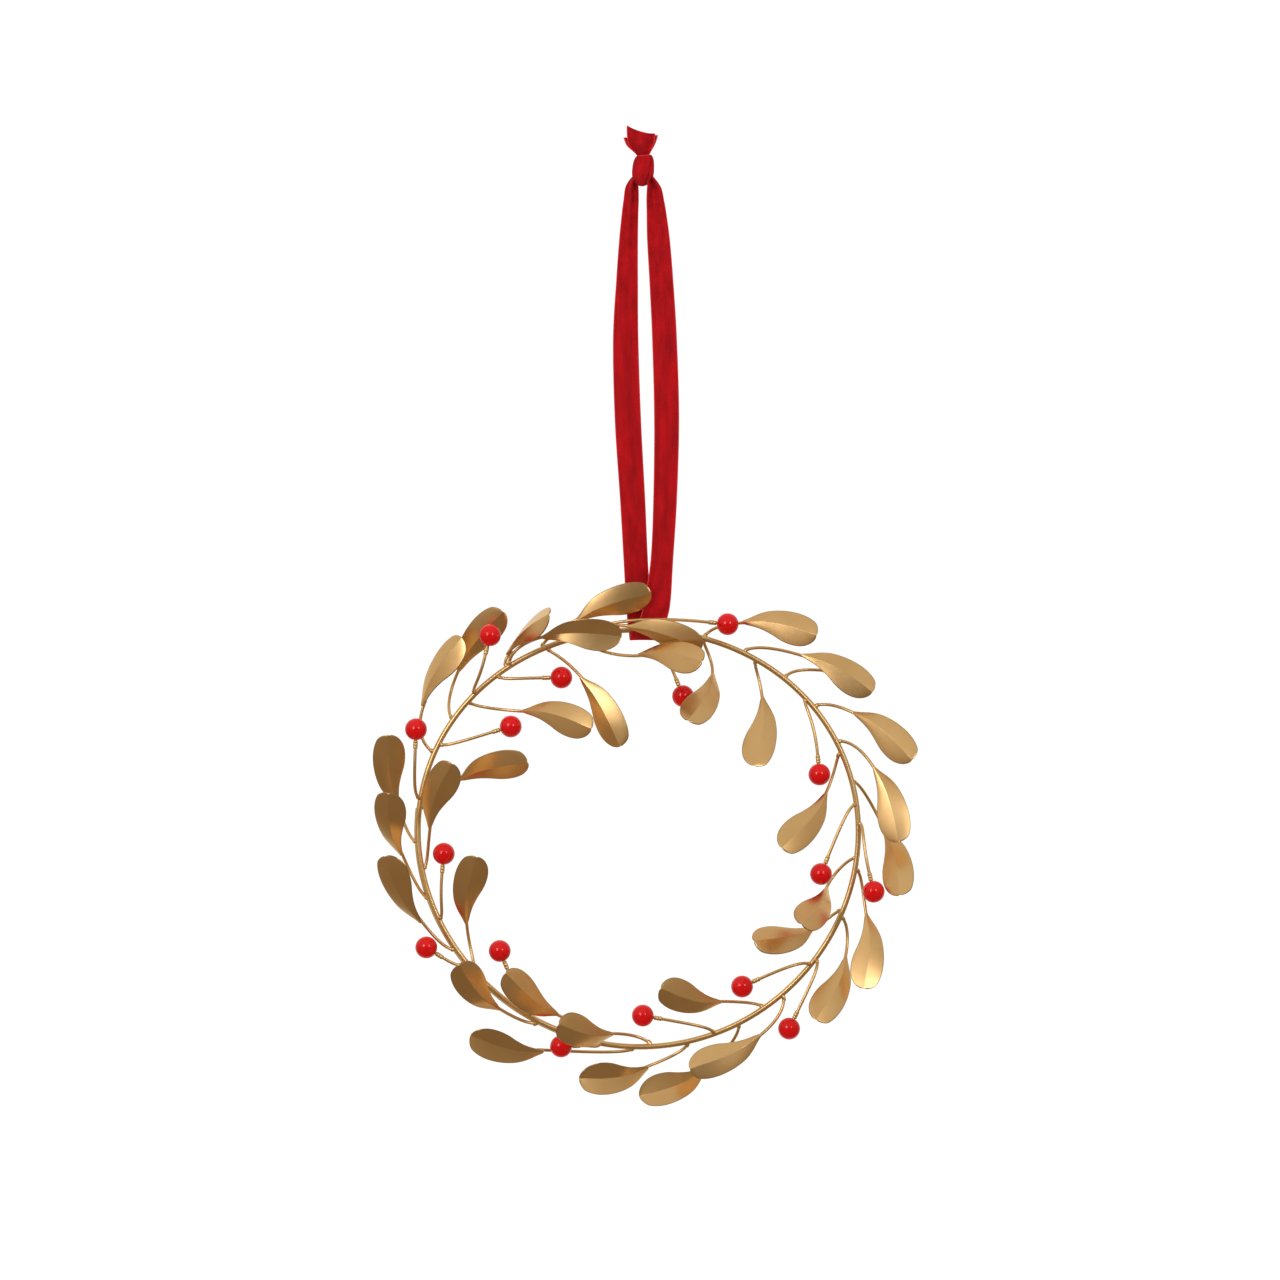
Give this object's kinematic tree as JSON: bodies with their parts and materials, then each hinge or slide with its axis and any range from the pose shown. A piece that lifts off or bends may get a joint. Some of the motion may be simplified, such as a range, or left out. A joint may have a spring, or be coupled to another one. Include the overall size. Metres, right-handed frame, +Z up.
{
  "type": "hanging metal leaf wreath",
  "caption": "Small hanging wreath: a coiled brass wire ring with stamped brass leaves and round red berries on wire stems, hung by a knotted velvet ribbon loop.",
  "frame": {"origin": "inside top of the ribbon loop, under the knot, where a hook carries it", "axes": "+Z up along the hanging ribbon, -Y out of the front of the wreath, +X to the right seen from the front"},
  "size_m": [0.2468, 0.0454, 0.4462],
  "materials": {
    "leaf_brass": "satin brushed brass-plated sheet",
    "wire_brass": "drawn wire, satin brass",
    "berry_red": "high gloss red lacquer",
    "velvet_red": "matt velvet ribbon"
  },
  "bodies": {
    "root": {"leaf_01": "leaf_brass", "leaf_02": "leaf_brass", "leaf_03": "leaf_brass", "leaf_04": "leaf_brass", "leaf_05": "leaf_brass", "leaf_06": "leaf_brass", "leaf_07": "leaf_brass", "leaf_08": "leaf_brass", "leaf_09": "leaf_brass", "leaf_10": "leaf_brass", "leaf_11": "leaf_brass", "leaf_12": "leaf_brass", "leaf_13": "leaf_brass", "leaf_14": "leaf_brass", "leaf_15": "leaf_brass", "leaf_16": "leaf_brass", "leaf_17": "leaf_brass", "leaf_18": "leaf_brass", "leaf_19": "leaf_brass", "leaf_20": "leaf_brass", "leaf_21": "leaf_brass", "leaf_22": "leaf_brass", "leaf_23": "leaf_brass", "leaf_24": "leaf_brass", "leaf_25": "leaf_brass", "leaf_26": "leaf_brass", "leaf_27": "leaf_brass", "leaf_28": "leaf_brass", "leaf_29": "leaf_brass", "leaf_30": "leaf_brass", "leaf_31": "leaf_brass", "leaf_32": "leaf_brass", "leaf_33": "leaf_brass", "leaf_34": "leaf_brass", "leaf_35": "leaf_brass", "berry_01": "berry_red", "berry_02": "berry_red", "berry_03": "berry_red", "berry_04": "berry_red", "berry_05": "berry_red", "berry_06": "berry_red", "berry_07": "berry_red", "berry_08": "berry_red", "berry_09": "berry_red", "berry_10": "berry_red", "berry_11": "berry_red", "berry_12": "berry_red", "berry_13": "berry_red", "berry_14": "berry_red", "berry_15": "berry_red", "berry_16": "berry_red", "berry_17": "berry_red", "wire_frame": "wire_brass", "ribbon": "velvet_red"}
  },
  "joints": []
}
